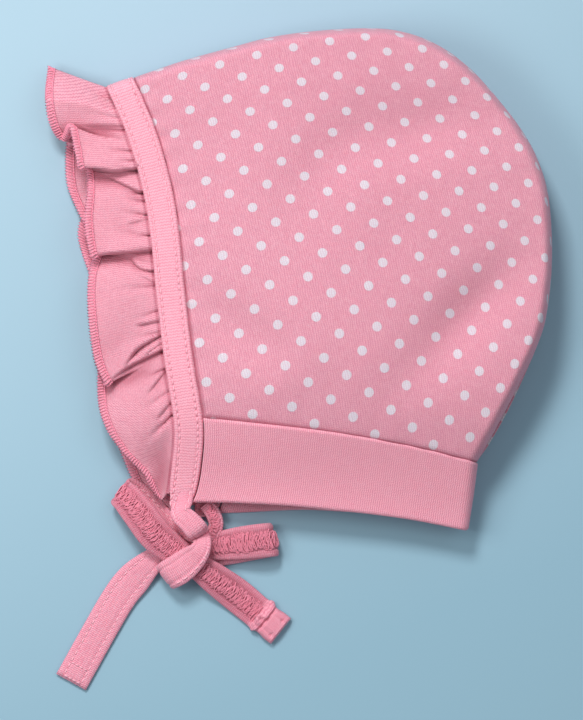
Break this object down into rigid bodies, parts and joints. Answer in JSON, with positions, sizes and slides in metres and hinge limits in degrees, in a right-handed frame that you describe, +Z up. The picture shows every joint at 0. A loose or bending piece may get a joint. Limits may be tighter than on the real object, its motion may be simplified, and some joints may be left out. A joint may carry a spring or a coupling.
{
  "type": "baby bonnet",
  "caption": "Soft jersey baby bonnet lying on its side, with a rounded two-panel crown, ribbed neckband, bound face opening, gathered ruffle and tie strips in a bow.",
  "frame": {"origin": "a point on the flat underside of the lower crown panel, on the surface that the bonnet lies on", "axes": "+Z up from that surface, +Y towards the top of the crown, +X from the face opening towards the back of the head"},
  "size_m": [0.1724, 0.2254, 0.027],
  "materials": {
    "dotted_jersey_left": "matte jersey with a white dot print",
    "dotted_jersey_right": "matte jersey with a white dot print",
    "neckband_rib": "matte fine rib knit",
    "binding_rib": "matte rib knit with two rows of stitches",
    "ruffle_jersey": "matte plain jersey",
    "left_tie_rib": "matte rib knit with two rows of stitches",
    "right_tie_rib": "matte rib knit with two rows of stitches"
  },
  "bodies": {
    "root": {"crown_left_panel": "dotted_jersey_left", "crown_right_panel": "dotted_jersey_right", "neckband": "neckband_rib", "face_binding": "binding_rib", "ruffle": "ruffle_jersey", "left_tie": "left_tie_rib", "right_tie": "right_tie_rib"}
  },
  "joints": []
}
